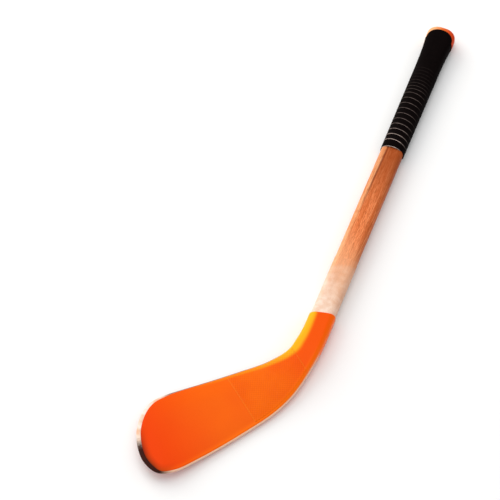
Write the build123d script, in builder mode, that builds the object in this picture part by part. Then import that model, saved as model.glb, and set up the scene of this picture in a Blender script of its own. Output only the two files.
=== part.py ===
from build123d import *
from math import hypot
import os

os.makedirs("parts", exist_ok=True)

# A short ice hockey stick lying with the hollow side of its blade up, in millimetres.
# Points below are given in the shaft's own frame: x across the shaft, y along it
# towards the butt and z up, all from the shaft's centre line.

# ---- Driving dimensions ---------------------------------------------------------------
SHAFT_LINE = (50.15, -31.14, 9.5)  # the shaft frame's origin, seen from the middle of the stick's base

SHAFT_WIDTH = 21.0
SHAFT_THICK = 14.0
SHAFT_CORNER = 4.5
BED = 0.1  # how much the shaft is sanded down, all round, wherever something is wrapped over it
SIDE_PLY = 5.25
SHAFT_HEEL_END = -82.0
SHAFT_BUTT_END = 290.0

TONGUE_THICK = 4.6
TONGUE_TOP = -46.0
DOWEL_RADIUS = 2.0
DOWEL_LENGTH = 10.0
DOWEL_STATIONS = (-55.0, -67.0)

# The neck is the orange socket round the foot of the shaft. Its upper edge is cut on a slant.
NECK_WALL = 1.2
NECK_EDGE = -41.0
NECK_SLANT = 0.22
NECK_FOOT = -62.0

# The blade runs from heel to toe along BLADE_RUN, and the thickness curves below are
# read along that line: station, height of the front skin, height of the back skin.
BLADE_RUN = (-0.621, -0.784)
BLADE_SIDE = (
    (20, 8.2, -8.2),
    (58, 7.8, -8.0),
    (80, 5.2, -8.3),
    (105, 1.0, -8.8),
    (140, -2.0, -9.1),
    (185, -1.0, -7.7),
    (240, 6.0, 0.4),
    (262, 10.0, 4.6),
)
# The blade and neck seen from above, from the neck's inner side round the toe and back.
# The first and last points only carry the neck's straight sides on.
OUTLINE = (
    (-11.7, 0),
    (-11.7, NECK_FOOT + 1),
    (-16.2, -81.5),
    (-30.3, -100.0),
    (-51.0, -118.0),
    (-91.0, -152.5),
    (-110.3, -173.7),
    (-114.2, -191.0),
    (-109.8, -211.5),
    (-95.6, -231.0),
    (-79.8, -236.8),
    (-66.2, -229.2),
    (-22.8, -170.0),
    (-6.0, -144.0),
    (3.4, -122.0),
    (9.6, -88.0),
    (11.7, NECK_FOOT + 1),
    (11.7, 0),
)
# Where the straight top edge and the sole begin among the points, and the ways they run.
TOP_EDGE_FROM, SOLE_FROM = 4, 11
TO_HEEL, TO_TOE, TO_NECK, TO_BUTT = (0, -1), (-0.757, -0.653), (0.61, 0.79), (0, 1)

SKIN = 1.2
RIM_WIDTH = 1.3
TOE_RIM_SHIFT = (2.6, 1.2)
RIM_HALF = 2.1
RIM_ENDS = -66.0
RIM_FULL_FROM, RIM_FULL_AT = 150.0, 215.0

PATCH = 0.3
PATCH_STATIONS = (73.0, 136.5)
PATCH_MARGIN = 3.0

SLEEVE_WALL = 0.6
SLEEVE_TOP = 10.0

GRIP_FOOT = 147.0
KNOB_FOOT = 256.0
KNOB_END = 283.0
TAPE = 0.75
# Padding round the shaft, under the tape: station, width and thickness over all.
UNDERWRAP = ((GRIP_FOOT, 21.7, 14.7), (KNOB_FOOT, 22.9, 15.9))
KNOB_PAD = ((KNOB_FOOT, 22.9, 15.9), (KNOB_END, 25.9, 17.5))

CAP_WIDTH = 27.8
CAP_THICK = 19.0
CAP_SHOULDER = 290.0
CAP_END = 299.8
CAP_ROUND = 4.0
TAPE_ARCH = (12.6, 10.6)
CAP_INSET = 8.75
SPIGOT_RADIUS = 3.5
SPIGOT_LENGTH = 28.0

FAR = 400.0

plan = Plane(SHAFT_LINE)
# The run of the blade seen from its sole: local x goes from heel to toe and local y goes up.
blade_side = Plane(
    origin=SHAFT_LINE,
    x_dir=(BLADE_RUN[0], BLADE_RUN[1], 0),
    z_dir=(BLADE_RUN[1], -BLADE_RUN[0], 0),
)


def station(y):
    """The plane across the shaft at y, facing the butt."""
    return Plane(
        origin=(SHAFT_LINE[0], SHAFT_LINE[1] + y, SHAFT_LINE[2]),
        x_dir=(1, 0, 0),
        z_dir=(0, 1, 0),
    )


def bar(width, thick, corner, low, high):
    """A bar with rounded edges on the shaft's line, from low to high."""
    with BuildPart() as made:
        with BuildSketch(station(low)):
            RectangleRounded(width, thick, corner)
        extrude(amount=high - low)
    return made.part


def flared(sections, grow, corner):
    """A bar that widens from the first section to the last, each grown by grow all round."""
    with BuildPart() as made:
        for y, width, thick in sections:
            with BuildSketch(station(y)):
                RectangleRounded(width + 2 * grow, thick + 2 * grow, corner + grow)
        loft(ruled=True)
    return made.part


def slab(upper, lower):
    """Everything between two curves of (station, height) points, as wide as the blade."""
    with BuildPart() as made:
        with BuildSketch(blade_side):
            with BuildLine():
                front = Spline(*upper)
                back = Spline(*lower)
                Line(front @ 0, back @ 0)
                Line(front @ 1, back @ 1)
            make_face()
        extrude(amount=FAR / 2, both=True)
    return made.part


def drawn_in(inset, shift=(0, 0)):
    """The points of OUTLINE moved inwards by inset, and further where shift points inwards."""
    moved = []
    for before, here, after in zip(OUTLINE, OUTLINE[1:], OUTLINE[2:]):
        back, ahead = Vector(*here) - Vector(*before), Vector(*after) - Vector(*here)
        along = back.normalized() * ahead.length + ahead.normalized() * back.length
        inwards = Vector(-along.Y, along.X).normalized()
        depth = inset + max(inwards.dot(Vector(*shift)), 0)
        moved.append(Vector(*here) + inwards * depth)
    return moved


def outline_prism(inset, shift=(0, 0)):
    """The blade seen from above, drawn in by inset, as a tall prism that ends in the neck."""
    points = drawn_in(inset, shift)
    with BuildPart() as made:
        with BuildSketch(plan.offset(-FAR / 8)):
            with BuildLine():
                inner_bend = Spline(*points[:TOP_EDGE_FROM], tangents=(TO_HEEL, TO_TOE))
                toe = Spline(*points[TOP_EDGE_FROM:SOLE_FROM], tangents=(TO_TOE, TO_NECK))
                sole = Spline(*points[SOLE_FROM - 1 :], tangents=(TO_NECK, TO_BUTT))
                Line(inner_bend @ 1, toe @ 0)
                Line(sole @ 1, inner_bend @ 0)
            make_face()
        extrude(amount=FAR / 4)
    return made.part


def side_curve(column, move=0.0):
    """The points of one column of BLADE_SIDE, moved up by move."""
    return [(row[0], row[column] + move) for row in BLADE_SIDE]


def rim_curve(up):
    """The edge strip's upper or lower face: narrow at the heel, as thick as the blade at the toe."""
    points = []
    for run, front, back in BLADE_SIDE:
        share = min(max((run - RIM_FULL_FROM) / (RIM_FULL_AT - RIM_FULL_FROM), 0), 1)
        full = (front - back) / 2
        half = RIM_HALF + (full - RIM_HALF) * share
        points.append((run, (front + back) / 2 + up * half))
    return points


# ---- Bodies that shape more than one piece ---------------------------------------------
blade_band = slab(side_curve(1), side_curve(2))
core_band = slab(side_curve(1, -SKIN), side_curve(2, SKIN))
rim_band = slab(rim_curve(1), rim_curve(-1))
front_half = slab(side_curve(1, 20), [(row[0], (row[1] + row[2]) / 2) for row in BLADE_SIDE])
back_half = slab([(row[0], (row[1] + row[2]) / 2) for row in BLADE_SIDE], side_curve(2, -20))

whole_outline = outline_prism(0)
inner_outline = outline_prism(RIM_WIDTH, TOE_RIM_SHIFT)

bed_section = (SHAFT_WIDTH - 2 * BED, SHAFT_THICK - 2 * BED, SHAFT_CORNER - BED)
shaft_upper = (
    bar(*bed_section, NECK_FOOT, SLEEVE_TOP)
    + bar(SHAFT_WIDTH, SHAFT_THICK, SHAFT_CORNER, SLEEVE_TOP, GRIP_FOOT)
    + bar(*bed_section, GRIP_FOOT, SHAFT_BUTT_END)
)
shaft_foot = bar(*bed_section, SHAFT_HEEL_END, NECK_FOOT)
shaft_bar = shaft_foot + shaft_upper
shaft_zone = bar(SHAFT_WIDTH - 2 * BED, 2 * SHAFT_THICK, BED, SHAFT_HEEL_END, 0)
neck_bar = bar(
    SHAFT_WIDTH + 2 * NECK_WALL,
    SHAFT_THICK + 2 * NECK_WALL,
    SHAFT_CORNER + NECK_WALL,
    NECK_FOOT,
    NECK_EDGE + SHAFT_WIDTH,
)
sleeve_bar = bar(
    SHAFT_WIDTH + 2 * SLEEVE_WALL,
    SHAFT_THICK + 2 * SLEEVE_WALL,
    SHAFT_CORNER + SLEEVE_WALL,
    NECK_EDGE - SHAFT_WIDTH,
    SLEEVE_TOP,
)

# Everything on the blade's side of the neck's slanted edge.
with BuildPart() as below_slant:
    with BuildSketch(plan):
        reach = SHAFT_WIDTH
        with BuildLine():
            Polyline(
                (-FAR, NECK_EDGE - NECK_SLANT * reach),
                (-reach, NECK_EDGE - NECK_SLANT * reach),
                (reach, NECK_EDGE + NECK_SLANT * reach),
                (FAR, NECK_EDGE + NECK_SLANT * reach),
                (FAR, -FAR),
                (-FAR, -FAR),
                close=True,
            )
        make_face()
    extrude(amount=FAR / 8, both=True)

# The foot of the shaft is planed thinner so that it fits between the blade's skins.
core_space = core_band & inner_outline

with BuildPart() as shaft_body:
    add(shaft_foot)
    add(core_space, mode=Mode.INTERSECT)
    add(shaft_upper)

# The bridle joint's tongue, as wide as the shaft.
with BuildPart() as tongue:
    with BuildSketch(plan):
        with Locations((0, (TONGUE_TOP + SHAFT_HEEL_END) / 2)):
            Rectangle(SHAFT_WIDTH, TONGUE_TOP - SHAFT_HEEL_END)
    extrude(amount=TONGUE_THICK / 2, both=True)
    add(shaft_body.part, mode=Mode.INTERSECT)

# ---- Shaft -----------------------------------------------------------------------------
with BuildPart() as joint_dowels:
    with BuildSketch(plan.offset(-DOWEL_LENGTH / 2)):
        with Locations(*[(0, y) for y in DOWEL_STATIONS]):
            Circle(DOWEL_RADIUS)
    extrude(amount=DOWEL_LENGTH)
    joint_dowels.part.label = "joint_dowels"

core_half = SHAFT_WIDTH / 2 - SIDE_PLY
with BuildPart() as shaft_core:
    add(shaft_body.part)
    split(bisect_by=Plane.YZ.offset(SHAFT_LINE[0] + core_half), keep=Keep.BOTTOM)
    split(bisect_by=Plane.YZ.offset(SHAFT_LINE[0] - core_half), keep=Keep.TOP)
    add(tongue.part, mode=Mode.SUBTRACT)
    add(joint_dowels.part, mode=Mode.SUBTRACT)
    with BuildSketch(station(SHAFT_BUTT_END)):
        Circle(SPIGOT_RADIUS)
    extrude(amount=-SPIGOT_LENGTH, mode=Mode.SUBTRACT)
    shaft_core.part.label = "shaft_core"

with BuildPart() as shaft_ply_right:
    add(shaft_body.part)
    split(bisect_by=Plane.YZ.offset(SHAFT_LINE[0] + core_half), keep=Keep.TOP)
    add(tongue.part, mode=Mode.SUBTRACT)
    shaft_ply_right.part.label = "shaft_ply_right"

with BuildPart() as shaft_ply_left:
    add(shaft_body.part)
    split(bisect_by=Plane.YZ.offset(SHAFT_LINE[0] - core_half), keep=Keep.BOTTOM)
    add(tongue.part, mode=Mode.SUBTRACT)
    shaft_ply_left.part.label = "shaft_ply_left"

# ---- Blade -----------------------------------------------------------------------------
with BuildPart() as blade_core:
    add(core_space)
    add(shaft_zone, mode=Mode.SUBTRACT)
    add(tongue.part)
    add(joint_dowels.part, mode=Mode.SUBTRACT)
    blade_core.part.label = "blade_core"

with BuildPart() as blade_edge_strip:
    add(whole_outline)
    add(inner_outline, mode=Mode.SUBTRACT)
    add(rim_band, mode=Mode.INTERSECT)
    split(bisect_by=Plane.XZ.offset(-(SHAFT_LINE[1] + RIM_ENDS)), keep=Keep.TOP)
    blade_edge_strip.part.label = "blade_edge_strip"

# The skins together, still with the wood inside.
with BuildPart() as skinned:
    add(whole_outline)
    add(blade_band, mode=Mode.INTERSECT)
    add(neck_bar)
    add(below_slant.part, mode=Mode.INTERSECT)

skin_parts = {}
for name, half in (("blade_face_front", front_half), ("blade_face_back", back_half)):
    with BuildPart() as blade_face:
        add(skinned.part)
        add(half, mode=Mode.INTERSECT)
        add(shaft_bar, mode=Mode.SUBTRACT)
        add(core_space, mode=Mode.SUBTRACT)
        add(blade_edge_strip.part, mode=Mode.SUBTRACT)
        blade_face.part.label = name
    skin_parts[name] = blade_face.part

patch_outline = outline_prism(PATCH_MARGIN)
with BuildPart() as patch_reach:
    with BuildSketch(blade_side):
        with Locations((sum(PATCH_STATIONS) / 2, 0)):
            Rectangle(PATCH_STATIONS[1] - PATCH_STATIONS[0], FAR / 4)
    extrude(amount=FAR / 2, both=True)

patch_parts = {}
for name, column, way in (("heel_patch_front", 1, 1), ("heel_patch_back", 2, -1)):
    sheet = slab(side_curve(column, way * PATCH), side_curve(column))
    with BuildPart() as heel_patch:
        add(patch_outline)
        add(patch_reach.part, mode=Mode.INTERSECT)
        add(sheet, mode=Mode.INTERSECT)
        heel_patch.part.label = name
    patch_parts[name] = heel_patch.part

# ---- Sleeve, grip and butt --------------------------------------------------------------
with BuildPart() as neck_sleeve:
    add(sleeve_bar)
    add(below_slant.part, mode=Mode.SUBTRACT)
    add(shaft_bar, mode=Mode.SUBTRACT)
    neck_sleeve.part.label = "neck_sleeve"

with BuildPart() as grip_underwrap:
    add(flared(UNDERWRAP, 0, SHAFT_CORNER))
    add(shaft_bar, mode=Mode.SUBTRACT)
    grip_underwrap.part.label = "grip_underwrap"

with BuildPart() as knob_former:
    add(flared(KNOB_PAD, 0, SHAFT_CORNER))
    add(shaft_bar, mode=Mode.SUBTRACT)
    knob_former.part.label = "knob_former"

# The cap before the tape's tongues are let into it.
with BuildPart() as cap_blank:
    with BuildSketch(plan):
        with BuildLine():
            foot_line = Line((CAP_WIDTH / 2, KNOB_END), (-CAP_WIDTH / 2, KNOB_END))
            left_side = Line(foot_line @ 1, (-CAP_WIDTH / 2, CAP_SHOULDER))
            EllipticalCenterArc(
                (0, CAP_SHOULDER), CAP_WIDTH / 2, CAP_END - CAP_SHOULDER, start_angle=0, arc_size=180
            )
            Line((CAP_WIDTH / 2, CAP_SHOULDER), foot_line @ 0)
        make_face()
    extrude(amount=CAP_THICK / 2, both=True)
    ends = cap_blank.faces().filter_by(Axis.Z).edges()
    foot_height = SHAFT_LINE[1] + KNOB_END + 0.01
    fillet([edge for edge in ends if edge.center().Y > foot_height], radius=CAP_ROUND)

# Two tongues of tape that climb onto the cap's broad faces under an arch.
with BuildPart() as tape_tongues:
    with BuildSketch(plan):
        with Locations((0, KNOB_END)):
            Ellipse(*TAPE_ARCH)
    extrude(amount=FAR / 8, both=True)
    with BuildSketch(plan.offset(-CAP_INSET)):
        with Locations((0, KNOB_END)):
            Rectangle(FAR / 4, FAR / 4)
    extrude(amount=2 * CAP_INSET, mode=Mode.SUBTRACT)
    add(cap_blank.part, mode=Mode.INTERSECT)

with BuildPart() as butt_cap:
    add(cap_blank.part)
    add(tape_tongues.part, mode=Mode.SUBTRACT)
    add(shaft_bar, mode=Mode.SUBTRACT)
    with BuildSketch(station(SHAFT_BUTT_END + 0.5)):
        Circle(SPIGOT_RADIUS)
    extrude(amount=-SPIGOT_LENGTH - 0.5)
    butt_cap.part.label = "butt_cap"

with BuildPart() as grip_tape:
    add(flared(UNDERWRAP, TAPE, SHAFT_CORNER))
    add(flared(KNOB_PAD, TAPE, SHAFT_CORNER))
    add(flared(UNDERWRAP, 0, SHAFT_CORNER), mode=Mode.SUBTRACT)
    add(flared(KNOB_PAD, 0, SHAFT_CORNER), mode=Mode.SUBTRACT)
    add(tape_tongues.part)
    grip_tape.part.label = "grip_tape"

pieces = [
    shaft_core.part,
    shaft_ply_left.part,
    shaft_ply_right.part,
    joint_dowels.part,
    blade_core.part,
    blade_edge_strip.part,
    neck_sleeve.part,
    grip_underwrap.part,
    knob_former.part,
    grip_tape.part,
    butt_cap.part,
    *skin_parts.values(),
    *patch_parts.values(),
]
for piece in pieces:
    export_step(piece, f"parts/{piece.label}.step")
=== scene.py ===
from math import cos, pi, radians, sin

import bmesh
import bpy
import numpy as np
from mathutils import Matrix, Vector


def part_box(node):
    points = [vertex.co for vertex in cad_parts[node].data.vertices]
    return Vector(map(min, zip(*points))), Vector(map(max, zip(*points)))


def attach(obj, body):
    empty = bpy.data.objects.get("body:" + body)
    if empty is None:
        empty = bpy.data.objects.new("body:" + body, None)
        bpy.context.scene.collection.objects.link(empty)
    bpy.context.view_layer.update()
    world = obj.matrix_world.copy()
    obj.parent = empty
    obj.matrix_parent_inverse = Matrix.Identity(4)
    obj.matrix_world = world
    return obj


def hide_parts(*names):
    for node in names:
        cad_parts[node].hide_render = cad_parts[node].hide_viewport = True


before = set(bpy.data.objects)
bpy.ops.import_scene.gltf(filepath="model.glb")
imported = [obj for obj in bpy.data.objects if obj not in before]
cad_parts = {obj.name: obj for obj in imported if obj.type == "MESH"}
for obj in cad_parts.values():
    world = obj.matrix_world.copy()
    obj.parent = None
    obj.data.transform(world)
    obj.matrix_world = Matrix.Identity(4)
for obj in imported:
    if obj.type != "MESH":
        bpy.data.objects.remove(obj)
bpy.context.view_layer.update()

# ---- The stick's own frame -------------------------------------------------------------
# Shapes are worked out in millimetres from the shaft's centre line: x across the shaft,
# y along it towards the butt, z up. place() takes them to the row frame, in metres.
MM = 0.001
SHAFT_FOOT = -82.0
core_low, core_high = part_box("shaft_core")
ORIGIN = np.array(
    [(core_low.x + core_high.x) / 2, core_low.y - SHAFT_FOOT * MM, (core_low.z + core_high.z) / 2]
)


def along(name, end):
    """How far along the shaft a CAD node starts (end 0) or stops (end 1), in millimetres."""
    return (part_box(name)[end].y - ORIGIN[1]) / MM


def place(points):
    """Points from the shaft's frame in millimetres to the row frame in metres."""
    return np.asarray(points, float) * MM + ORIGIN


GRIP_FOOT = along("grip_tape", 0)
KNOB_FOOT = along("knob_former", 0)
KNOB_END = along("knob_former", 1)
CAP_END = along("butt_cap", 1)


# ---- Camera, light and floor -----------------------------------------------------------
def aim(thing, target):
    """Turns a camera or light to look at target."""
    way = Vector(target) - thing.location
    thing.rotation_euler = way.to_track_quat("-Z", "Y").to_euler()


def add_camera():
    turn, tilt, distance = radians(21.38), radians(60), 1.912
    target = Vector(place([-86.25, 0.35, 0]))
    look = Vector((-sin(turn) * cos(tilt), cos(turn) * cos(tilt), -sin(tilt)))
    camera = bpy.data.objects.new("camera", bpy.data.cameras.new("camera"))
    camera.data.lens = 150
    camera.data.sensor_width = 36
    camera.data.clip_end = 20
    camera.location = target - look * distance
    bpy.context.scene.collection.objects.link(camera)
    aim(camera, target)
    bpy.context.scene.camera = camera


def add_area_light(name, spot, size, power, colour=(1, 1, 1)):
    """A square soft light at spot, in metres from the middle of the stick, aimed at it."""
    light = bpy.data.lights.new(name, "AREA")
    light.size = size
    light.energy = power
    light.color = colour
    lamp = bpy.data.objects.new(name, light)
    lamp.location = spot
    bpy.context.scene.collection.objects.link(lamp)
    aim(lamp, (0, 0, 0))


def add_surroundings():
    world = bpy.data.worlds.new("studio")
    world.use_nodes = True
    backdrop = world.node_tree.nodes["Background"]
    backdrop.inputs["Color"].default_value = (1, 1, 1, 1)
    backdrop.inputs["Strength"].default_value = 0.74
    bpy.context.scene.world = world
    bpy.context.scene.view_settings.view_transform = "Standard"

    add_area_light("key_light", (-1.35, 0.6, 0.95), 1.7, 20, (1, 0.97, 0.92))
    add_area_light("top_light", (-0.2, 0.2, 1.8), 1.2, 8)

    bpy.ops.mesh.primitive_plane_add(size=6, location=(0, 0, -0.0005))
    floor = bpy.context.object
    floor.name = "floor"
    paper = bpy.data.materials.new("floor_paper")
    paper.use_nodes = True
    shader = paper.node_tree.nodes["Principled BSDF"]
    shader.inputs["Base Color"].default_value = (0.9, 0.9, 0.9, 1)
    shader.inputs["Roughness"].default_value = 0.9
    floor.data.materials.append(paper)


# ---- Node trees in short words ---------------------------------------------------------
class Field:
    """A number that nodes work out, so that a tree's formulas read as formulas."""

    def __init__(self, tree, socket):
        self.tree, self.socket = tree, socket

    def do(self, operation, *others):
        maths = self.tree.nodes.new("ShaderNodeMath")
        maths.operation = operation
        for socket, value in zip(maths.inputs, (self, *others)):
            feed(self.tree, value, socket)
        return Field(self.tree, maths.outputs[0])

    def __add__(self, other):
        return self.do("ADD", other)

    def __sub__(self, other):
        return self.do("SUBTRACT", other)

    def __mul__(self, other):
        return self.do("MULTIPLY", other)

    def __truediv__(self, other):
        return self.do("DIVIDE", other)

    def __pow__(self, other):
        return self.do("POWER", other)

    def between(self, low, high):
        return self.do("MAXIMUM", low).do("MINIMUM", high)


def feed(tree, value, socket):
    """Links a field or socket to an input, or writes a plain value into it."""
    if isinstance(value, Field):
        tree.links.new(value.socket, socket)
    elif socket.type == "RGBA" and isinstance(value, tuple) and len(value) == 3:
        socket.default_value = (*value, 1)
    elif isinstance(value, bpy.types.NodeSocket):
        tree.links.new(value, socket)
    else:
        socket.default_value = value


def node(tree, kind, inputs=None, **settings):
    """A new node with its settings made and its inputs fed."""
    made = tree.nodes.new(kind)
    for name, value in settings.items():
        setattr(made, name, value)
    for name, value in (inputs or {}).items():
        feed(tree, value, made.inputs[name])
    return made


def smooth_step(tree, value, low, high):
    """0 below low, 1 above high, eased between them."""
    ranged = node(
        tree,
        "ShaderNodeMapRange",
        {"Value": value, "From Min": low, "From Max": high},
        interpolation_type="SMOOTHSTEP",
    )
    return Field(tree, ranged.outputs["Result"])


def mix_colour(tree, share, first, second):
    """first where share is 0, second where it is 1."""
    mixer = node(tree, "ShaderNodeMix", data_type="RGBA")
    feed(tree, share, mixer.inputs["Factor"])
    colour_a, colour_b = [socket for socket in mixer.inputs if socket.type == "RGBA"]
    feed(tree, first, colour_a)
    feed(tree, second, colour_b)
    return next(socket for socket in mixer.outputs if socket.type == "RGBA")


def noise(tree, where, scale, detail=3.0, roughness=0.5, distortion=0.0):
    """Soft random values round 0.5, with about scale bumps to each unit of where."""
    made = node(
        tree,
        "ShaderNodeTexNoise",
        {
            "Vector": where,
            "Scale": scale,
            "Detail": detail,
            "Roughness": roughness,
            "Distortion": distortion,
        },
    )
    return Field(tree, made.outputs["Fac"])


class Finish:
    """A material being made: its tree, its shader and object coordinates in the stick's frame."""

    def __init__(self, name, roughness, **constants):
        self.material = bpy.data.materials.new(name)
        self.material.use_nodes = True
        self.tree = self.material.node_tree
        self.shader = self.tree.nodes["Principled BSDF"]
        self.shader.inputs["Roughness"].default_value = roughness
        for name, value in constants.items():
            self.shader.inputs[name.replace("_", " ")].default_value = value
        coordinates = node(self.tree, "ShaderNodeTexCoord")
        self.spot = self.mapped(
            coordinates.outputs["Object"],
            Location=tuple(-ORIGIN / MM),
            Scale=(1 / MM, 1 / MM, 1 / MM),
        )

    def mapped(self, vector, **change):
        """Coordinates through a mapping node: scaled, turned, then moved."""
        return node(self.tree, "ShaderNodeMapping", {"Vector": vector, **change}).outputs[0]

    def axes(self, vector):
        parts = node(self.tree, "ShaderNodeSeparateXYZ", {"Vector": vector})
        return [Field(self.tree, output) for output in parts.outputs]

    def attribute(self, name):
        read = node(self.tree, "ShaderNodeAttribute", attribute_name=name)
        return Field(self.tree, read.outputs["Fac"])

    def noise(self, scale, **settings):
        return noise(self.tree, self.spot, scale, **settings)

    def stretched_noise(self, scale_x, scale_y, scale_z, **settings):
        """Noise with its own scale on each axis, such as grain along y."""
        stretched = self.mapped(self.spot, Scale=(scale_x, scale_y, scale_z))
        return noise(self.tree, stretched, 1.0, **settings)

    def colour(self, socket):
        feed(self.tree, socket, self.shader.inputs["Base Color"])

    def roughness(self, field):
        feed(self.tree, field, self.shader.inputs["Roughness"])

    def bump(self, height, depth_mm, strength=1.0):
        bumped = node(
            self.tree,
            "ShaderNodeBump",
            {"Height": height, "Distance": depth_mm * MM, "Strength": strength},
        )
        feed(self.tree, bumped.outputs["Normal"], self.shader.inputs["Normal"])

    def ramp(self, value, stops):
        """A colour ramp through (place, colour) stops."""
        made = node(self.tree, "ShaderNodeValToRGB", {"Fac": value})
        elements = made.color_ramp.elements
        while len(elements) < len(stops):
            elements.new(0.5)
        for element, (spot, colour) in zip(elements, stops):
            element.position = spot
            element.color = (*colour, 1)
        return made.outputs["Color"]


def rgb(red, green, blue):
    """A screen colour, 0 to 255 each, as the linear colour that a shader wants."""

    def linear(value):
        value /= 255
        return value / 12.92 if value <= 0.04045 else ((value + 0.055) / 1.055) ** 2.4

    return (linear(red), linear(green), linear(blue))


# ---- Wound strips, by geometry nodes ---------------------------------------------------
def strip_tree():
    """A strip wound up a bar with rounded corners: its first turn is level, its lower edge lies
    over the turn before, and its pitch may change part of the way up."""
    tree = bpy.data.node_groups.new("wound_strip", "GeometryNodeTree")
    tree.interface.new_socket("Geometry", in_out="OUTPUT", socket_type="NodeSocketGeometry")
    for name in (
        "Foot", "Turns", "Low Turns", "Low Pitch", "High Pitch", "Strip Width", "Thickness",
        "Lift", "Half Width", "Half Depth", "Spread", "Squareness", "Bow",
    ):
        tree.interface.new_socket(name, in_out="INPUT", socket_type="NodeSocketFloat")
    for name in ("Points Along", "Points Round"):
        tree.interface.new_socket(name, in_out="INPUT", socket_type="NodeSocketInt")
    tree.interface.new_socket("Material", in_out="INPUT", socket_type="NodeSocketMaterial")
    given = node(tree, "NodeGroupInput")

    def size(name):
        return Field(tree, given.outputs[name])

    grid = node(
        tree,
        "GeometryNodeMeshGrid",
        {
            "Size X": 1.0,
            "Size Y": 1.0,
            "Vertices X": given.outputs["Points Along"],
            "Vertices Y": given.outputs["Points Round"],
        },
    )
    position = node(tree, "GeometryNodeInputPosition").outputs[0]
    flat = node(tree, "ShaderNodeSeparateXYZ", {"Vector": position})
    travelled = Field(tree, flat.outputs["X"]) + 0.5
    section_turn = (Field(tree, flat.outputs["Y"]) + 0.5) * (2 * pi)

    def squared_off(wave):
        """A sine or cosine pushed out towards a square corner."""
        return wave.do("SIGN") * (wave.do("ABSOLUTE") ** 0.3)

    # The strip's own section runs from -1 to 1 across and outwards, and shrinks to a point at
    # both ends of the strip.
    turn = travelled * size("Turns")
    left_to_end = (travelled * -1.0 + 1.0) * size("Turns")
    body = (turn.do("MINIMUM", left_to_end) * 8.0).between(0.0, 1.0)
    across = squared_off(section_turn.do("COSINE")) * body
    outward = squared_off(section_turn.do("SINE")) * body

    risen = (turn - 1.0).do("MAXIMUM", 0.0)
    low_risen = risen.do("MINIMUM", size("Low Turns"))
    climbed = low_risen * size("Low Pitch") + (risen - low_risen) * size("High Pitch")
    height = size("Foot") + climbed + (across + 1.0) * size("Strip Width") * 0.5

    # How far the tape stands off the bar: its layers, its lifted lower edge and the grip's flare.
    proud = (
        ((outward + 1.0) * 0.5 + turn.do("MINIMUM", 1.0)) * size("Thickness")
        + (across * -1.0 + 1.0) * size("Lift") * 0.5
        + (height - size("Foot")) * size("Spread")
    )
    round_turn = turn * (2 * pi)
    sideways, upwards = round_turn.do("COSINE"), round_turn.do("SINE")
    power = size("Squareness")
    reach = (
        (sideways.do("ABSOLUTE") / (size("Half Width") + proud)) ** power
        + (upwards.do("ABSOLUTE") / (size("Half Depth") + proud)) ** power
    ) ** ((power**-1.0) * -1.0)
    # Each turn is bowed towards the butt in the middle of the broad faces.
    off_middle = reach * sideways / size("Half Width")
    bowed = height + (off_middle * off_middle * -1.0 + 1.0) * size("Bow")
    spot = node(
        tree,
        "ShaderNodeCombineXYZ",
        {"X": reach * sideways, "Y": bowed, "Z": reach * upwards},
    )
    labelled = grid.outputs["Mesh"]
    for name, field in (("across", across), ("turn", turn)):
        stored = node(
            tree,
            "GeometryNodeStoreNamedAttribute",
            {"Geometry": labelled, "Name": name, "Value": field},
            data_type="FLOAT",
            domain="POINT",
        )
        labelled = stored.outputs[0]
    wound = node(
        tree, "GeometryNodeSetPosition", {"Geometry": labelled, "Position": spot.outputs[0]}
    )
    closed = node(
        tree, "GeometryNodeMergeByDistance", {"Geometry": wound.outputs[0], "Distance": 1e-4}
    )
    real = node(tree, "GeometryNodeRealizeInstances", {"Geometry": closed.outputs[0]})
    finished = node(
        tree,
        "GeometryNodeSetMaterial",
        {"Geometry": real.outputs[0], "Material": given.outputs["Material"]},
    )
    result = node(tree, "NodeGroupOutput")
    tree.links.new(finished.outputs[0], result.inputs[0])
    return tree


def wind_strip(name, material, **sizes):
    """Winds a strip with the wound_strip tree and returns it as a plain mesh object."""
    tree = bpy.data.node_groups.get("wound_strip") or strip_tree()
    host = bpy.data.objects.new(name + "_host", bpy.data.meshes.new(name + "_host"))
    bpy.context.scene.collection.objects.link(host)
    modifier = host.modifiers.new("winding", "NODES")
    modifier.node_group = tree
    values = {key.replace("_", " ").title(): value for key, value in sizes.items()}
    values["Material"] = material
    for socket in tree.interface.items_tree:
        if socket.in_out == "INPUT" and socket.name in values:
            modifier[socket.identifier] = values[socket.name]
    wound = host.evaluated_get(bpy.context.evaluated_depsgraph_get())
    mesh = bpy.data.meshes.new_from_object(wound)
    bpy.data.objects.remove(host)
    return finished_piece(name, mesh, material)


def finished_piece(name, mesh, material):
    """A piece from a mesh in the shaft's millimetres: placed, closed, smooth and facing outwards."""
    spots = np.empty(len(mesh.vertices) * 3)
    mesh.vertices.foreach_get("co", spots)
    mesh.vertices.foreach_set("co", place(spots.reshape(-1, 3)).ravel())
    shape = bmesh.new()
    shape.from_mesh(mesh)
    bmesh.ops.remove_doubles(shape, verts=shape.verts, dist=0.002 * MM)
    bmesh.ops.dissolve_degenerate(shape, edges=shape.edges, dist=0.001 * MM)
    bmesh.ops.recalc_face_normals(shape, faces=shape.faces)
    shape.to_mesh(mesh)
    shape.free()
    mesh.name = name
    mesh.materials.clear()
    mesh.materials.append(material)
    mesh.polygons.foreach_set("use_smooth", [True] * len(mesh.polygons))
    mesh.update()
    piece = bpy.data.objects.new(name, mesh)
    bpy.context.scene.collection.objects.link(piece)
    return piece


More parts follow.
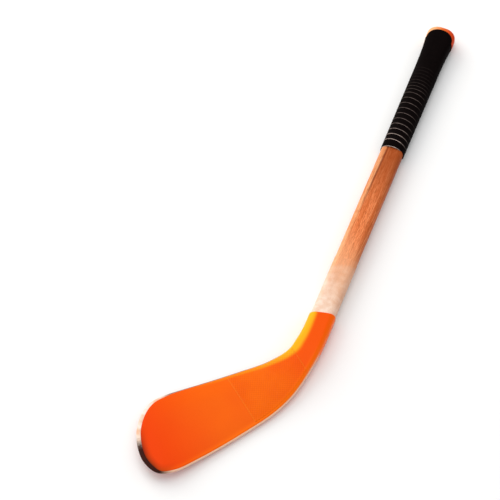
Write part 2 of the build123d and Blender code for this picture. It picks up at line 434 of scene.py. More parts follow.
def mesh_from_loops(name, loops, material, attributes=None, cap_start=True, cap_end=True):
    """A tube through closed loops of points, all of one length, with its ends filled."""
    loops = np.asarray(loops, float)
    count, size = loops.shape[:2]
    faces = []
    for row in range(count - 1):
        for column in range(size):
            nearer, further = row * size, (row + 1) * size
            step = (column + 1) % size
            faces.append((nearer + column, nearer + step, further + step, further + column))
    if cap_start:
        faces.append(tuple(range(size))[::-1])
    if cap_end:
        faces.append(tuple(range((count - 1) * size, count * size)))
    mesh = bpy.data.meshes.new(name)
    mesh.from_pydata(loops.reshape(-1, 3).tolist(), [], faces)
    for key, values in (attributes or {}).items():
        layer = mesh.attributes.new(key, "FLOAT", "POINT")
        layer.data.foreach_set("value", np.asarray(values, np.float32).ravel())
    return finished_piece(name, mesh, material)


# ---- The blade's outline and thickness -------------------------------------------------
NECK_HALF = 11.7
NECK_EDGE, NECK_SLANT, NECK_ARCH = -41.4, 0.22, 0.9
# How far each ring of the neck's rounded lip is turned in, and how far up it is moved.
NECK_LIP = ((1.4, 0.4), (0.75, 0.45), (0.35, 0.38), (0.1, 0.18))
# From the neck's inner side round the toe and back up the sole, seen from above.
OUTLINE = [
    (-NECK_HALF, NECK_EDGE - NECK_SLANT * NECK_HALF),
    (-NECK_HALF, -50.0),
    (-11.8, -60.0),
    (-13.2, -71.0),
    (-17.0, -83.0),
    (-30.3, -100.0),
    (-51.0, -118.0),
    (-71.0, -135.2),
    (-91.0, -152.5),
    (-103.2, -164.0),
    (-111.6, -176.0),
    (-114.2, -191.0),
    (-109.8, -211.5),
    (-95.6, -231.0),
    (-79.8, -236.8),
    (-66.2, -229.2),
    (-51.0, -210.0),
    (-22.8, -170.0),
    (-6.0, -144.0),
    (3.4, -122.0),
    (8.6, -98.0),
    (11.0, -76.0),
    (NECK_HALF, -60.0),
    (NECK_HALF, -48.0),
    (NECK_HALF, NECK_EDGE + NECK_SLANT * NECK_HALF),
]
# The way from the heel to the toe.
RUN = np.array((-0.621, -0.784))
# Along the run: height of the blade's mid surface, half its thickness in the middle, half its
# thickness at the rim, and how round its edges are.
SIDE = np.array(
    [
        (20, 0.0, 8.2, 8.2, 5.7),
        (45, 0.0, 8.15, 8.15, 4.8),
        (60, -0.2, 7.9, 7.9, 3.8),
        (70, -0.9, 7.3, 6.6, 3.2),
        (84, -1.9, 6.2, 4.8, 2.6),
        (105, -3.9, 4.7, 2.9, 1.8),
        (140, -5.5, 3.6, 2.0, 1.2),
        (185, -4.3, 3.3, 1.9, 1.0),
        (240, 3.2, 2.7, 1.8, 0.9),
        (262, 7.3, 2.6, 1.7, 0.9),
    ],
    float,
)
# How far in from its edge the blade reaches its full thickness, and how thick a skin is.
CROWN_REACH = 20.0
SKIN = 1.2
# The edge strip's width along the sole, how deep it is let in, and where it begins in the heel.
RIM = 0.85
RIM_BURIED = 1.2
RIM_STARTS, RIM_GROWS_OVER = -74.0, 18.0
# Which way is inwards from the upper edge, and how the strip widens round the toe.
UPPER_EDGE_FACING = np.array((0.65, -0.76))
TOE_RIM_WAY = np.array((1.9, 1.1))
# The heel patches: where they start and stop along the run, and how far they stay off the edge.
PATCH_STATIONS = (73.0, 136.5)
PATCH_MARGIN = 3.0
PATCH_PROUD, PATCH_SUNK = 0.12, 0.2
# One thread's width in the patches' weave and in the skins' fibre, and how the threads are turned.
WEAVE_CELL, FIBRE_CELL, WEAVE_TURN = 1.35, 0.9, radians(28)


def curve_through(points, per_span=40):
    """A smooth line through points that doesn't overshoot where they are unevenly spaced."""
    points = np.asarray(points, float)
    padded = np.vstack([2 * points[0] - points[1], points, 2 * points[-1] - points[-2]])
    made = []
    for corners in zip(padded, padded[1:], padded[2:], padded[3:]):
        gaps = [np.linalg.norm(b - a) ** 0.5 for a, b in zip(corners, corners[1:])]
        knots = np.concatenate(([0.0], np.cumsum(gaps)))
        for t in np.linspace(knots[1], knots[2], per_span, endpoint=False):
            line = list(corners)
            for spans in ((1, 1, 1), (2, 2), (1,)):
                first = 1 if len(spans) == 1 else 0
                line = [
                    ((knots[i + first + span] - t) * line[i] + (t - knots[i + first]) * line[i + 1])
                    / (knots[i + first + span] - knots[i + first])
                    for i, span in enumerate(spans)
                ]
            made.append(line[0])
    made.append(points[-1])
    return np.array(made)


def side_value(run, column):
    """One column of SIDE at places along the run, eased between its rows."""
    run = np.clip(run, SIDE[0, 0], SIDE[-1, 0])
    slopes = np.gradient(SIDE[:, column], SIDE[:, 0])
    row = np.clip(np.searchsorted(SIDE[:, 0], run, side="right") - 1, 0, len(SIDE) - 2)
    start, end = SIDE[row, 0], SIDE[row + 1, 0]
    length = end - start
    t = (run - start) / length
    low, high = SIDE[row, column], SIDE[row + 1, column]
    return (
        (2 * t**3 - 3 * t**2 + 1) * low
        + (t**3 - 2 * t**2 + t) * length * slopes[row]
        + (3 * t**2 - 2 * t**3) * high
        + (t**3 - t**2) * length * slopes[row + 1]
    )


def rim_depth(points, inwards):
    """How wide the edge strip is at points of the outline: none in the neck, widest at the toe."""
    grown = np.clip((RIM_STARTS - points[:, 1]) / RIM_GROWS_OVER, 0, 1)
    upper_edge = np.clip(inwards @ UPPER_EDGE_FACING, 0, 1)
    upper_edge *= np.interp(-points[:, 0], (92, 106), (1, 0))
    return grown * (RIM - 0.6 * upper_edge + np.maximum(inwards @ TOE_RIM_WAY, 0))


def distance_to(line, points, block=400):
    """Each point's distance to an open line of points."""
    start, way = line[:-1], np.diff(line, axis=0)
    reach = np.maximum((way**2).sum(1), 1e-12)
    best = np.full(len(points), np.inf)
    for first in range(0, len(points), block):
        some = points[first : first + block, None] - start
        share = np.clip((some * way).sum(2) / reach, 0, 1)
        gap = np.linalg.norm(some - share[..., None] * way, axis=2)
        best[first : first + block] = gap.min(1)
    return best


outline = curve_through(OUTLINE)
steps = np.gradient(outline, axis=0)
steps /= np.linalg.norm(steps, axis=1)[:, None]
inwards = np.column_stack((-steps[:, 1], steps[:, 0]))
skin_line = outline + inwards * rim_depth(outline, inwards)[:, None]
toe_tip = int(np.argmax(skin_line @ RUN))


def heights(points):
    """The blade's front and back heights at points seen from above."""
    run = points @ RUN
    middle, half, rim_half, corner = [side_value(run, column) for column in range(1, 5)]
    deep = distance_to(skin_line, points)
    crown = 1 - (1 - np.clip(deep / CROWN_REACH, 0, 1)) ** 2
    half = rim_half + (half - rim_half) * crown
    dip = np.clip(corner - deep, 0, None)
    half = half - corner + np.sqrt(np.maximum(corner**2 - dip**2, 0))
    return middle + half, middle - half


def side_points(line, count):
    """Points of one side of the blade, from the neck to the toe, closer together at the toe."""
    run = line @ RUN
    wanted = run[0] + (run[-1] - run[0]) * np.sin(np.linspace(0, pi / 2, count))
    return np.column_stack([np.interp(wanted, run, line[:, axis]) for axis in (0, 1)])


def plan_between(left, right, across):
    """Rows of points from the left side to the right, closer together at the sides."""
    share = (1 - np.cos(np.linspace(0, pi, across))) / 2
    return left[:, None] + (right - left)[:, None] * share[None, :, None]


def closed_loops(plan, upper, lower):
    """Loops over the top of each row of plan and back underneath it."""
    return np.concatenate((np.dstack((plan, upper)), np.dstack((plan, lower))[:, ::-1]), axis=1)


def rounded_ring(angle, height, wide, deep, power):
    """Points round a bar at height, whose section is an oval squared off by power."""
    x, z = np.cos(angle), np.sin(angle)
    reach = ((np.abs(x) / wide) ** power + (np.abs(z) / deep) ** power) ** (-1 / power)
    return np.column_stack((reach * x, np.broadcast_to(height, x.shape), reach * z))


def ring_angles(count, squash=0.68):
    """Angles whose points are evenly spread round a bar that is wider than it is deep."""
    even = np.linspace(0, 2 * pi, count, endpoint=False)
    return np.arctan2(np.sin(even) * squash, np.cos(even))


def painted_highlight_edge(points):
    """Painted highlight: 1 on the edge of the neck and heel that faces the light, fading across and
    along it.
    """
    plan = points[:, :2]
    run = plan @ RUN
    away = distance_to(skin_line[: toe_tip + 1], plan)
    wide = np.interp(run, (30, 50, 66, 82, 100, 130, 160), (8.6, 9.4, 10.6, 8.6, 6.0, 4.2, 3.0))
    fall = np.clip((wide - away) / (0.5 * wide), 0, 1)
    fade = np.interp(run, (35, 40, 76, 92, 110, 140, 170), (0.8, 0.95, 0.9, 0.62, 0.4, 0.22, 0.0))
    return fade * fall * fall * (3 - 2 * fall)


def sole_painted_light(points):
    """Painted light: 1 along the skins' edge on the sole's side, brightening the edge where its
    rounding turns from the light.
    """
    plan = points[:, :2]
    away = distance_to(skin_line[toe_tip:], plan)
    fade = np.interp(plan @ RUN, (36, 60, 90, 150, 220), (0.6, 0.75, 1.0, 0.8, 0.3))
    return fade * np.clip(1 - away / 5.0, 0, 1) ** 1.2


def toe_scuff_and_shade(points):
    """1 at the skins' edge on the corner of the toe that drags, fading inwards: scuffs together with
    painted shade.
    """
    plan = points[:, :2]
    away = distance_to(skin_line, plan)
    corner = np.interp(-plan[:, 1], (200, 222), (0, 1)) * np.interp(-plan[:, 0], (66, 84), (0, 1))
    return 0.92 * corner * np.clip(1 - away / 7.5, 0, 1) ** 1.4


def blade_skin(material, stations=170, across=41):
    """The front and back skins in one shell, which closes inside the neck and at the toe."""
    left = side_points(skin_line[: toe_tip + 1], stations)
    right = side_points(skin_line[toe_tip:][::-1], stations)
    plan = plan_between(left, right, across)
    front, back = [row.reshape(stations, across) for row in heights(plan.reshape(-1, 2))]
    loops = closed_loops(plan, front, back)
    # The upper edge is rounded over and turned in onto the sleeve.
    lip = []
    for inset, raised in NECK_LIP:
        ring = loops[0].copy()
        centre = ring.mean(0)
        reach = np.linalg.norm((ring - centre)[:, [0, 2]], axis=1)
        ring[:, [0, 2]] -= (ring - centre)[:, [0, 2]] / reach[:, None] * inset
        arched = NECK_ARCH * (1 - (ring[:, 0] / NECK_HALF) ** 2)
        ring[:, 1] += NECK_SLANT * (ring[:, 0] - loops[0][:, 0]) + raised + arched
        lip.append(ring)
    loops = np.concatenate((lip, loops))
    points = loops.reshape(-1, 3)
    # Painted highlight on the lit neck edge, painted light along the sole's edge, and scuffs with
    # painted shade at the toe.
    marks = {"painted_highlight": painted_highlight_edge(points), "scuff_and_shade": toe_scuff_and_shade(points), "painted_lift": sole_painted_light(points)}
    return mesh_from_loops("blade_skin", loops, material, marks, cap_end=False)


def blade_wood(material, stations=80, across=25):
    """The wood between the skins, with the tongue that it sends up into the shaft's slot."""
    line = outline + inwards * (rim_depth(outline, inwards) + 1.5)[:, None]
    tip = int(np.argmax(line @ RUN))
    sides = [side[side[:, 1] < SHAFT_FOOT - 2.5] for side in (line[: tip + 1], line[tip:][::-1])]
    left, right = [side_points(side, stations) for side in sides]
    plan = plan_between(left, right, across)
    front, back = [row.reshape(stations, across) for row in heights(plan.reshape(-1, 2))]
    middle, half = (front + back) / 2, np.maximum((front - back) / 2 - SKIN, 0.4)
    loops = closed_loops(plan, middle + half, middle - half)
    body = mesh_from_loops("blade_wood", loops, material, cap_end=False)
    rings = ((SHAFT_FOOT - 4, 9, 2.2), (-50, 10.2, 2.3), (-47, 9.6, 2.2), (-46, 8.6, 2.0))
    tongue = [rounded_ring(ring_angles(50), *ring, power=5) for ring in rings]
    joined = mesh_from_loops("blade_tongue", tongue, material)
    with bpy.context.temp_override(active_object=body, selected_editable_objects=[body, joined]):
        bpy.ops.object.join()
    return body


def edge_strip(material, around=20):
    """A ring between the skins, thin in the heel and as thick as the blade at the toe."""
    kept = np.flatnonzero(outline[:, 1] < -70)
    line, way = outline[kept], inwards[kept]
    width = rim_depth(line, way)
    run = line @ RUN
    middle, rim_half = side_value(run, 1), side_value(run, 3)
    ends = np.minimum(np.arange(len(kept)), np.arange(len(kept))[::-1])
    taper = np.clip(ends / 25, 0, 1) ** 0.5
    full = np.interp(run, (150, 215), (0, 1)) * np.interp(line[:, 0], (-85, -55), (1, 0))
    thin, thick = np.minimum(rim_half - 0.5, 1.3), rim_half - 0.12
    half = (thin * (1 - full) + thick * full) * (0.25 + 0.75 * taper)
    angle = np.linspace(0, 2 * pi, around, endpoint=False)
    outer = np.sign(np.cos(angle)) * np.abs(np.cos(angle)) ** 0.55
    upper = np.sign(np.sin(angle)) * np.abs(np.sin(angle)) ** 0.55
    reach = (width + RIM_BURIED) / 2
    across = (reach + 0.5 * (1 - taper))[:, None] - outer[None] * reach[:, None]
    plan = line[:, None] + way[:, None] * across[..., None]
    z = middle[:, None] + upper[None] * half[:, None]
    on_sole = np.broadcast_to((kept > toe_tip).astype(float)[:, None], z.shape)
    return mesh_from_loops("blade_rim", np.dstack((plan, z)), material, {"sole": on_sole})


def heel_patch(name, material, front, along_count=90, across=61):
    """A thin sheet of cured weave that follows one face of the blade's heel."""
    left, right = skin_line[: toe_tip + 1], skin_line[toe_tip:][::-1]
    runs = np.linspace(*PATCH_STATIONS, along_count)
    start, end = [
        np.column_stack([np.interp(runs, side @ RUN, side[:, axis]) for axis in (0, 1)])
        for side in (left, right)
    ]
    gap = end - start
    inset = ((PATCH_MARGIN - RIM) / np.linalg.norm(gap, axis=1))[:, None]
    share = inset + (1 - 2 * inset) * np.linspace(0, 1, across)
    plan = start[:, None] + gap[:, None] * share[..., None]
    up, down = heights(plan.reshape(-1, 2))
    skin = (up if front else down).reshape(along_count, across)
    way = 1 if front else -1
    from_ends = np.minimum(np.arange(along_count), np.arange(along_count)[::-1])
    from_sides = np.minimum(np.arange(across), np.arange(across)[::-1])
    from_edge = np.minimum.outer(from_ends * 0.7, from_sides * 1.0)
    proud = PATCH_PROUD * np.clip(0.25 + from_edge * 0.5, 0, 1)
    loops = closed_loops(plan, skin + way * proud, skin - way * PATCH_SUNK)
    points = loops.reshape(-1, 3)
    # Painted highlight on the lit heel edge and painted light along the sole's edge.
    marks = {"painted_highlight": painted_highlight_edge(points), "painted_lift": sole_painted_light(points)}
    return mesh_from_loops(name, loops, material, marks)


# ---- Neck film, knob and butt cap ------------------------------------------------------
# What lies under the tape and beyond it: place along the shaft, half width and half depth.
BUTT = np.array(
    [
        (GRIP_FOOT, 11.3, 8.25),
        (200, 11.6, 8.5),
        (250, 11.85, 8.7),
        (262, 12.0, 8.75),
        (272, 12.4, 8.8),
        (280, 13.05, 9.0),
        (KNOB_END, 13.45, 9.15),
        (KNOB_END + 2.5, 13.85, 9.2),
        (KNOB_END + 7, 13.9, 9.2),
    ]
)
CAP_SHOULDER = KNOB_END + 7
# The tape's tongue on the cap: its half width and how far it climbs. Then how far a turn bows.
TAPE_ARCH = (12.6, 10.6)
TURN_BOW = 1.8
GRIP_SQUARENESS, KNOB_SQUARENESS = 2.35, 3.4
SQUARER_FROM = GRIP_FOOT + 98
KNOB_TAPE_FOOT = 243.5
# Half width, half depth and squareness of the hollow in the foam, and of the film on the neck.
FOAM_HOLLOW = (10.2, 6.7, 3.2)
FILM_HALF_WIDE, FILM_HALF_DEEP, FILM_SQUARENESS = 10.9, 7.4, 3.7
# How far the film fades out up the bare wood, past the CAD's sleeve.
FILM_BEYOND_SLEEVE = 12


def butt_section(height, angle, proud=0.0):
    """Points round the grip or cap at a height or one height for each angle."""
    height = np.broadcast_to(height, np.shape(angle)).astype(float)
    wide, deep = [np.interp(height, BUTT[:, 0], BUTT[:, column]) for column in (1, 2)]
    beyond = np.clip((height - CAP_SHOULDER) / (CAP_END - CAP_SHOULDER), 0, 1)
    wide = wide * np.sqrt(1 - beyond**2) + proud
    deep = deep * (1 - beyond**2.8) ** (1 / 2.8) + proud
    power = np.interp(height, (SQUARER_FROM, KNOB_END), (GRIP_SQUARENESS, KNOB_SQUARENESS))
    return rounded_ring(angle, height, wide.clip(1e-3), deep.clip(1e-3), power)


def knob_cover(material, foot=KNOB_TAPE_FOOT, around=144):
    """The last smooth turns of tape over the knob, with a rounded end that climbs onto the cap."""
    angle = ring_angles(around)
    side = np.abs(butt_section(KNOB_END + 3, angle)[:, 0]) / TAPE_ARCH[0]
    top = KNOB_END - 0.3 + TAPE_ARCH[1] * np.sqrt(np.clip(1 - side**2, 0, 1))
    loops = []
    bow = TURN_BOW * (1 - (butt_section(foot, angle)[:, 0] / BUTT[2, 1]) ** 2)
    for t in np.linspace(0, 1, 60):
        loops.append(butt_section(foot + bow * (1 - t) + (top - foot) * t, angle, 0.32))
    for shrink, slid in ((0.2, 0.12), (0.0, 0.16), (-0.6, 0.0)):
        loops.append(butt_section(top + slid, angle, shrink))
    loops.append(butt_section(top - 6, angle, -0.8))
    loops.append(butt_section(foot + bow + 2, angle, -0.6))
    loops.append(butt_section(foot + bow, angle, 0.1))
    loops.append(loops[0])
    return mesh_from_loops("knob_cover", loops, material, cap_start=False, cap_end=False)


def padding(name, material, low, high, around=96):
    """Foam under the tape, from low to high, with the bare shaft left free inside it."""
    angle = ring_angles(around)
    outer = [butt_section(height, angle, -0.35) for height in np.linspace(low, high, 16)]
    inner = [rounded_ring(angle, height, *FOAM_HOLLOW) for height in (high, low)]
    loops = [*outer, *inner, outer[0]]
    return mesh_from_loops(name, loops, material, cap_start=False, cap_end=False)


def cap_shell(material, around=144):
    """The rubber cap, from its edge under the tape over its shoulder to its rounded end."""
    angle = ring_angles(around)
    eased = np.sin(np.linspace(0, pi / 2, 40))
    heights_up = [KNOB_END - 4, KNOB_END - 0.2, KNOB_END + 0.4]
    heights_up += list(np.linspace(KNOB_END + 1, CAP_SHOULDER, 10))
    heights_up += list(CAP_SHOULDER + (CAP_END - CAP_SHOULDER) * eased[1:-1])
    proud = [-0.8, -0.6, -0.1] + [0.0] * (len(heights_up) - 3)
    loops = [butt_section(height, angle, out) for height, out in zip(heights_up, proud)]
    return mesh_from_loops("cap_shell", loops, material)


def neck_film(material, top, foot, around=96):
    """A thin skin shrunk round the lower shaft, running in under the neck of the blade."""
    angle = ring_angles(around)
    stations = [(foot, 1.1), *[(height, 0) for height in np.linspace(foot, top - 3, 30)]]
    stations += [(top - 0.6, 0.18), (top, 0.4)]
    loops = [
        rounded_ring(angle, height, FILM_HALF_WIDE - thinner, FILM_HALF_DEEP - thinner, FILM_SQUARENESS)
        for height, thinner in stations
    ]
    return mesh_from_loops("neck_film", loops, material)


# ---- Finishes --------------------------------------------------------------------------
def grain_colour(finish, pale, main, streak, dark):
    """Straight grain along the shaft: broad bands, short dark streaks and fine fibres."""
    tree = finish.tree
    bands = finish.stretched_noise(0.3, 0.012, 0.3, detail=4, distortion=0.4)
    streaks = finish.stretched_noise(1.0, 0.045, 1.0, detail=4, roughness=0.65)
    fibres = finish.stretched_noise(2.6, 0.2, 2.6, detail=3)
    base = finish.ramp(bands, ((0.35, pale), (0.5, main), (0.66, streak)))
    streaked = mix_colour(tree, smooth_step(tree, streaks, 0.46, 0.6) * 0.85, base, streak)
    fine = mix_colour(tree, smooth_step(tree, fibres, 0.48, 0.64) * 0.7, streaked, dark)
    return fine, streaks * 0.6 + fibres * 0.4


def timber_colour(finish):
    """The shaft's laminated wood: a pale ply, a dark glue line, and redder wood beyond it."""
    tree = finish.tree
    x, y, _ = finish.axes(finish.spot)
    ply, _ = grain_colour(finish, *PALE_PLY)
    core, relief = grain_colour(finish, *CORE_WOOD)
    wobble = finish.stretched_noise(0.02, 0.05, 0.02, detail=2)
    line = (y - 105.0) * 0.02 + (wobble - 0.5) * 0.7 - 5.4
    beyond = mix_colour(tree, smooth_step(tree, x - line, -0.5, 0.7), ply, core)
    deeper = smooth_step(tree, y, 66, 142) * (smooth_step(tree, x, -7, -2) * 0.58 + 0.2)
    browner = mix_colour(tree, deeper, beyond, rgb(142, 58, 12))
    # Painted shade: darker towards the shaft's right side.
    side = mix_colour(tree, smooth_step(tree, x, 1.0, 10.5) * 0.4, browner, rgb(136, 58, 18))
    lightened = smooth_step(tree, y * -1.0 - x * 1.2, -58, -8) * 0.5
    paler = mix_colour(tree, lightened, side, rgb(238, 180, 134))
    glue = smooth_step(tree, (x - line).do("ABSOLUTE"), 1.5, 0.2) * smooth_step(tree, y, 55, 115)
    return mix_colour(tree, glue * 0.75, paler, rgb(116, 40, 8)), relief


def timber(name):
    """Varnished finish for the bare shaft."""
    finish = Finish(name, 0.45, Specular_IOR_Level=0.05)
    colour, relief = timber_colour(finish)
    finish.colour(colour)
    finish.roughness(relief * 0.25 + 0.32)
    finish.bump(relief, 0.12, 0.6)
    return finish.material


def wood(name, *colours):
    """Plain unvarnished wood for what lies inside."""
    finish = Finish(name, 0.5, Specular_IOR_Level=0.2)
    colour, relief = grain_colour(finish, *colours)
    finish.colour(colour)
    finish.bump(relief, 0.12, 0.6)
    return finish.material


def blade_finish(name, weave):
    """Orange resin over fine fibre, redder towards the toe, with painted light and shade at its edges.
    weave is for the heel's patches.
    """
    finish = Finish(name, 0.32, Specular_IOR_Level=0.05)
    tree = finish.tree
    x, y, _ = finish.axes(finish.spot)
    run = x * float(RUN[0]) + y * float(RUN[1])
    cloud = finish.noise(0.03, detail=4)
    speck = finish.noise(0.9, detail=3, roughness=0.7)

    brighter = smooth_step(tree, cloud, 0.25, 0.65) * (0.6 if weave else 0.2)
    middle = mix_colour(tree, brighter, rgb(231, 90, 2), rgb(240, 108, 2))
    near_neck = smooth_step(tree, run * -1.0, -108, -66) * 0.7
    neck_side = mix_colour(tree, near_neck, middle, rgb(232, 74, 0))
    along_run = mix_colour(tree, smooth_step(tree, run, 150, 232), neck_side, rgb(228, 64, 2))
    specked = smooth_step(tree, speck, 0.5, 0.8) * 0.15
    colour = mix_colour(tree, specked, along_run, rgb(196, 58, 0))
    # Painted light along the sole's edge, a painted highlight on the lit edge of the neck and heel, and
    # scuffs with painted shade at the toe's corner.
    colour = mix_colour(tree, finish.attribute("painted_lift"), colour, rgb(255, 116, 10))
    colour = mix_colour(tree, finish.attribute("painted_highlight"), colour, rgb(238, 175, 24))
    colour = mix_colour(tree, finish.attribute("scuff_and_shade"), colour, rgb(58, 14, 2))

    warp_axis, weft_axis, _ = finish.axes(finish.mapped(finish.spot, Rotation=(0, 0, WEAVE_TURN)))
    cell = WEAVE_CELL if weave else FIBRE_CELL
    warp, weft = [(axis * (pi / cell)).do("SINE") for axis in (warp_axis, weft_axis)]
    if weave:
        relief = (warp * weft) * 0.5 + 0.5
        # Painted shade darkens the weave's hollows.
        hollow = smooth_step(tree, relief, 0.2, 0.8) * 0.2
        colour = mix_colour(tree, hollow, colour, rgb(200, 62, 0))
        start, stop = PATCH_STATIONS
        from_middle = (run - (start + stop) / 2).do("ABSOLUTE")
        half_run = (stop - start) / 2
        border = smooth_step(tree, from_middle, half_run - 1.05, half_run - 0.45) * 0.28
        colour = mix_colour(tree, border, colour, rgb(244, 138, 44))
        finish.bump(relief, 0.16, 0.9)
    else:
        finish.bump(warp * weft * 0.25 + speck, 0.05, 0.35)
    finish.colour(colour)
    finish.roughness(cloud * 0.12 + 0.24)
    return finish.material


def rim_finish():
    """Pale plastic strip, greyed on the upper edge as painted shade, and darkened where the toe drags
    by scuffs with painted shade.
    """
    finish = Finish("edge_strip_finish", 0.5, Specular_IOR_Level=0.08)
    tree = finish.tree
    x, y, _ = finish.axes(finish.spot)
    grain = finish.noise(0.5, detail=4, roughness=0.6)
    broad = smooth_step(tree, finish.noise(0.12, detail=2), 0.3, 0.7)
    sole_side = mix_colour(tree, grain, rgb(226, 172, 136), rgb(236, 206, 182))
    toe_front = mix_colour(tree, broad, rgb(232, 182, 148), rgb(238, 224, 212))
    # Painted shade: the strip is greyed along the upper edge.
    upper_edge = mix_colour(tree, grain, rgb(106, 88, 80), rgb(168, 148, 136))
    upper_or_toe = mix_colour(tree, smooth_step(tree, x * -1.0, 98, 106), upper_edge, toe_front)
    pale = mix_colour(tree, finish.attribute("sole"), upper_or_toe, sole_side)
    # Scuffs with painted shade darken the corner of the toe.
    corner = smooth_step(tree, y * -1.0 + (grain - 0.5) * 9.0, 211, 223)
    toe_side = smooth_step(tree, x * -1.0, 66, 78)
    scuff_and_shade = mix_colour(tree, grain, rgb(14, 5, 3), rgb(70, 24, 10))
    finish.colour(mix_colour(tree, corner * toe_side, pale, scuff_and_shade))
    finish.roughness(grain * 0.3 + 0.35)
    finish.bump(grain, 0.12, 0.5)
    return finish.material


def film_finish():
    """Milky film over the wood: nearly clear at its top, white where it meets the blade."""
    finish = Finish("neck_film_finish", 0.45, Specular_IOR_Level=0.08)
    tree = finish.tree
    x, y, _ = finish.axes(finish.spot)
    wood_under, _ = timber_colour(finish)
    ragged = finish.stretched_noise(0.5, 0.1, 0.5, detail=3)
    mottled = finish.noise(0.17, detail=4, roughness=0.6)
    level = (y * -1.0 + (ragged - 0.5) * 7.0 + x * 0.3 + 24.0) / 66.0
    milkiness = ((0.0, 0.0), (0.16, 0.12), (0.22, 0.5), (0.5, 0.8), (0.95, 0.97))
    milky = finish.ramp(level, [(spot, (grey,) * 3) for spot, grey in milkiness])
    speckled = smooth_step(tree, mottled, 0.3, 0.7)
    peach = mix_colour(tree, speckled, rgb(216, 168, 137), rgb(228, 190, 163))
    white = mix_colour(tree, speckled, rgb(228, 194, 170), rgb(239, 218, 202))
    # Whiter towards the left side as a painted highlight; greyer towards the right side as painted
    # shade.
    cover = mix_colour(tree, smooth_step(tree, level - x * 0.035, 0.25, 0.95), peach, white)
    shaded = mix_colour(tree, smooth_step(tree, x, 4, 11) * 0.35, cover, rgb(196, 150, 128))
    finish.colour(mix_colour(tree, milky, wood_under, shaded))
    finish.bump(ragged, 0.12, 0.3)
    return finish.material


def tape_finish(name, wound):
    """Matt black cloth tape. On the wound grip its lower edges show a pale selvedge, brightened as a
    painted highlight on the lit side.
    """
    finish = Finish(name, 0.72, Specular_IOR_Level=0.02)
    tree = finish.tree
    x, y, _ = finish.axes(finish.spot)
    patchy = finish.noise(0.35, detail=4, roughness=0.65)
    thread = finish.noise(2.6, detail=2)
    colour = mix_colour(tree, patchy, rgb(1, 0, 0), rgb(15, 8, 8))
    if wound:
        across = finish.attribute("across")
        low_turns = smooth_step(tree, y * -1.0, -184, -152) * 0.8
        fade = low_turns + smooth_step(tree, y * -1.0, -238, -200) * 0.2 + 0.02
        # The pale edges are a painted highlight on the lit side, broken up by wear.
        wear_and_lit_side = smooth_step(tree, patchy, 0.3, 0.6) * 0.6 + 0.4
        wear_and_lit_side = wear_and_lit_side * smooth_step(tree, x * -1.0, -14, 0)
        # The second turn's edge stays dark where it starts out on top of the first.
        turn = finish.attribute("turn")
        lapped = smooth_step(tree, turn, 0.9, 0.95) * smooth_step(tree, turn * -1.0, -1.6, -1.5)
        edge = smooth_step(tree, across * -1.0, 0.85, 0.95) * (lapped * -1.0 + 1.0)
        colour = mix_colour(tree, edge * fade * wear_and_lit_side, colour, rgb(212, 190, 180))
    finish.colour(colour)
    finish.roughness(patchy * 0.25 + 0.55)
    finish.bump(thread * 0.6 + patchy * 0.4, 0.12, 0.6)
    return finish.material


def cap_finish():
    """Orange rubber, with painted shade towards one side and a painted highlight towards the other."""
    finish = Finish("cap_rubber_finish", 0.4, Specular_IOR_Level=0.04)
    tree = finish.tree
    cloud = finish.noise(0.12, detail=3)
    speck = finish.noise(1.2, detail=2)
    x, _, _ = finish.axes(finish.spot)
    # Painted shade: redder and darker towards the right side.
    colour = mix_colour(tree, smooth_step(tree, x, -8, 12), rgb(226, 116, 46), rgb(196, 62, 24))
    # Painted highlight: paler towards the left side.
    lightened = smooth_step(tree, x * -1.0 + (cloud - 0.5) * 6.0, 0, 9) * 0.6
    with_painted_highlight = mix_colour(tree, lightened, colour, rgb(246, 196, 146))
    specked = smooth_step(tree, speck, 0.55, 0.75) * 0.3
    finish.colour(mix_colour(tree, specked, with_painted_highlight, rgb(160, 48, 20)))
    finish.roughness(speck * 0.2 + 0.32)
    finish.bump(speck, 0.1, 0.4)
    return finish.material


def foam_finish():
    """Dark grey foam with small cells."""
    finish = Finish("grip_foam_finish", 0.9)
    cells = node(finish.tree, "ShaderNodeTexVoronoi", {"Vector": finish.spot, "Scale": 1.6})
    cell = Field(finish.tree, cells.outputs["Distance"])
    finish.colour(mix_colour(finish.tree, cell, rgb(52, 50, 50), rgb(96, 92, 90)))
    finish.bump(cell, 0.3, 0.7)
    return finish.material


def repaint(names, material):
    """Gives CAD nodes a finished material in place of their plain one."""
    for name in names:
        for material_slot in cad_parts[name].material_slots:
            material_slot.material = material


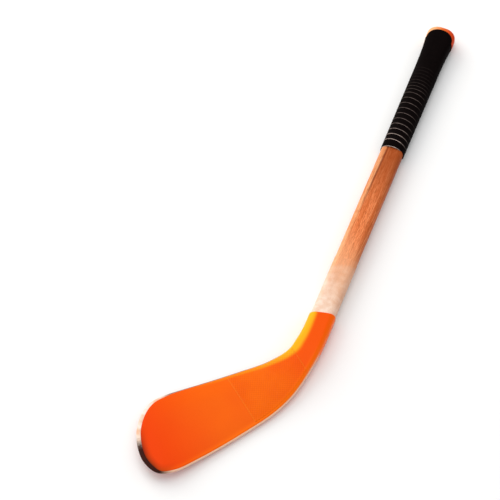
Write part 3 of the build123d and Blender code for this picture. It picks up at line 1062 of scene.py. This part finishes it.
# ---- Making the stick ------------------------------------------------------------------
CORE_WOOD = (rgb(240, 148, 94), rgb(230, 132, 80), rgb(204, 104, 52), rgb(160, 74, 30))
PALE_PLY = (rgb(240, 172, 124), rgb(232, 160, 110), rgb(214, 134, 82), rgb(186, 104, 58))
BIRCH = (rgb(236, 204, 160), rgb(226, 188, 140), rgb(204, 160, 108), rgb(176, 132, 84))

add_camera()
add_surroundings()

orange = blade_finish("blade_skin_finish", weave=False)
woven = blade_finish("heel_patch_finish", weave=True)
tape = tape_finish("grip_tape_finish", wound=True)
foam = foam_finish()

film_foot = min(along("neck_sleeve", 0), NECK_EDGE - 4)
film_top = along("neck_sleeve", 1) + FILM_BEYOND_SLEEVE
made = [
    (blade_skin(orange), "blade_skin", ["blade_face_front", "blade_face_back"]),
    (blade_wood(wood("blade_wood_finish", *BIRCH)), "blade_wood", ["blade_core"]),
    (edge_strip(rim_finish()), "edge_strip", ["blade_edge_strip"]),
    (heel_patch("heel_weave_front", woven, front=True), "heel_patch", ["heel_patch_front"]),
    (heel_patch("heel_weave_back", woven, front=False), "heel_patch", ["heel_patch_back"]),
    (neck_film(film_finish(), film_top, film_foot), "neck_wrap", ["neck_sleeve"]),
    (
        wind_strip(
            "grip_winding",
            tape,
            foot=GRIP_FOOT,
            turns=20.0,
            low_turns=10.6,
            low_pitch=6.3,
            high_pitch=3.8,
            strip_width=8.4,
            thickness=0.22,
            lift=0.32,
            half_width=10.95,
            half_depth=8.1,
            spread=0.0055,
            squareness=GRIP_SQUARENESS,
            bow=TURN_BOW,
            points_along=1301,
            points_round=17,
        ),
        "grip_tape",
        ["grip_tape"],
    ),
    (knob_cover(tape_finish("knob_tape_finish", wound=False)), "grip_tape", []),
    (padding("grip_padding", foam, GRIP_FOOT + 2.4, KNOB_FOOT), "grip_foam", ["grip_underwrap"]),
    (padding("knob_padding", foam, KNOB_FOOT, KNOB_END - 0.5), "grip_foam", ["knob_former"]),
    (cap_shell(cap_finish()), "cap_rubber", ["butt_cap"]),
]
for piece, slot_name, stood_for in made:
    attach(piece, "root")
    if stood_for:
        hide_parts(*stood_for)

repaint(["shaft_core"], timber("core_wood_finish"))
repaint(["shaft_ply_left", "shaft_ply_right"], timber("ply_wood_finish"))
repaint(["joint_dowels"], wood("dowel_wood_finish", *BIRCH))
